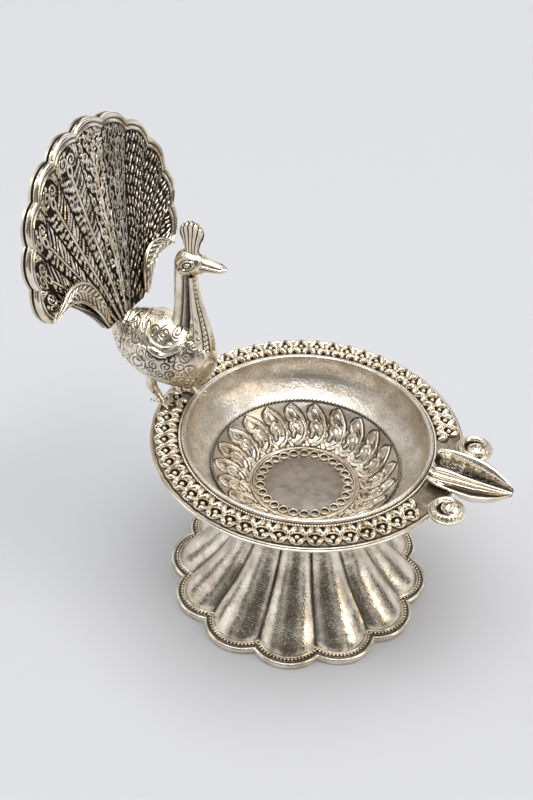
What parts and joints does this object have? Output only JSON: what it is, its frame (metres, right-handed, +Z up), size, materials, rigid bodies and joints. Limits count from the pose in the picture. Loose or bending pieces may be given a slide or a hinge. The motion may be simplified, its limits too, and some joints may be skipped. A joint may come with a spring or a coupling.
{
  "type": "aarti lamp",
  "caption": "Oil lamp with a fluted scalloped pedestal, an ornamented rim round its bowl, a pointed wick spout and a peacock with an open fan.",
  "frame": {"origin": "centre of the foot, on the surface that the lamp stands on", "axes": "+Z up; +X from the axis of the lamp along its wick spout"},
  "size_m": [0.1483, 0.1, 0.1554],
  "materials": {
    "worn_silver": "cast and pressed nickel silver, oxidised and rubbed bright on the high places",
    "chased_silver": "struck and chased nickel silver with dark oxide in the recesses",
    "polished_silver": "polished nickel silver with fine hammer marks",
    "brass_fixings": "turned brass"
  },
  "bodies": {
    "root": {"foot_edge_strip": "worn_silver", "foot_bead_wire": "polished_silver", "pedestal_shell": "worn_silver", "neck_collar": "worn_silver", "centre_stud": "brass_fixings", "stud_washer": "brass_fixings", "stud_nut": "brass_fixings", "bowl_shell": "polished_silver", "rosette_plate": "chased_silver", "medallion_disc": "worn_silver", "medallion_ring": "polished_silver", "medallion_cups": "chased_silver", "rim_band": "worn_silver", "rim_scales_outer": "chased_silver", "rim_scales_inner": "chased_silver", "rim_edge_wire": "polished_silver", "rim_milled_wire": "polished_silver", "spout_trough": "worn_silver", "spout_leaf": "worn_silver", "scroll_left": "worn_silver", "scroll_right": "worn_silver", "leg_left": "worn_silver", "leg_right": "worn_silver", "leg_nuts": "brass_fixings", "peacock_body": "worn_silver", "peacock_neck": "worn_silver", "peacock_crest": "worn_silver", "tail_tang": "worn_silver", "tail_spacer": "worn_silver", "tail_back_plate": "worn_silver", "tail_front_plate": "chased_silver", "tail_covert_left": "worn_silver", "tail_covert_right": "worn_silver"}
  },
  "joints": []
}
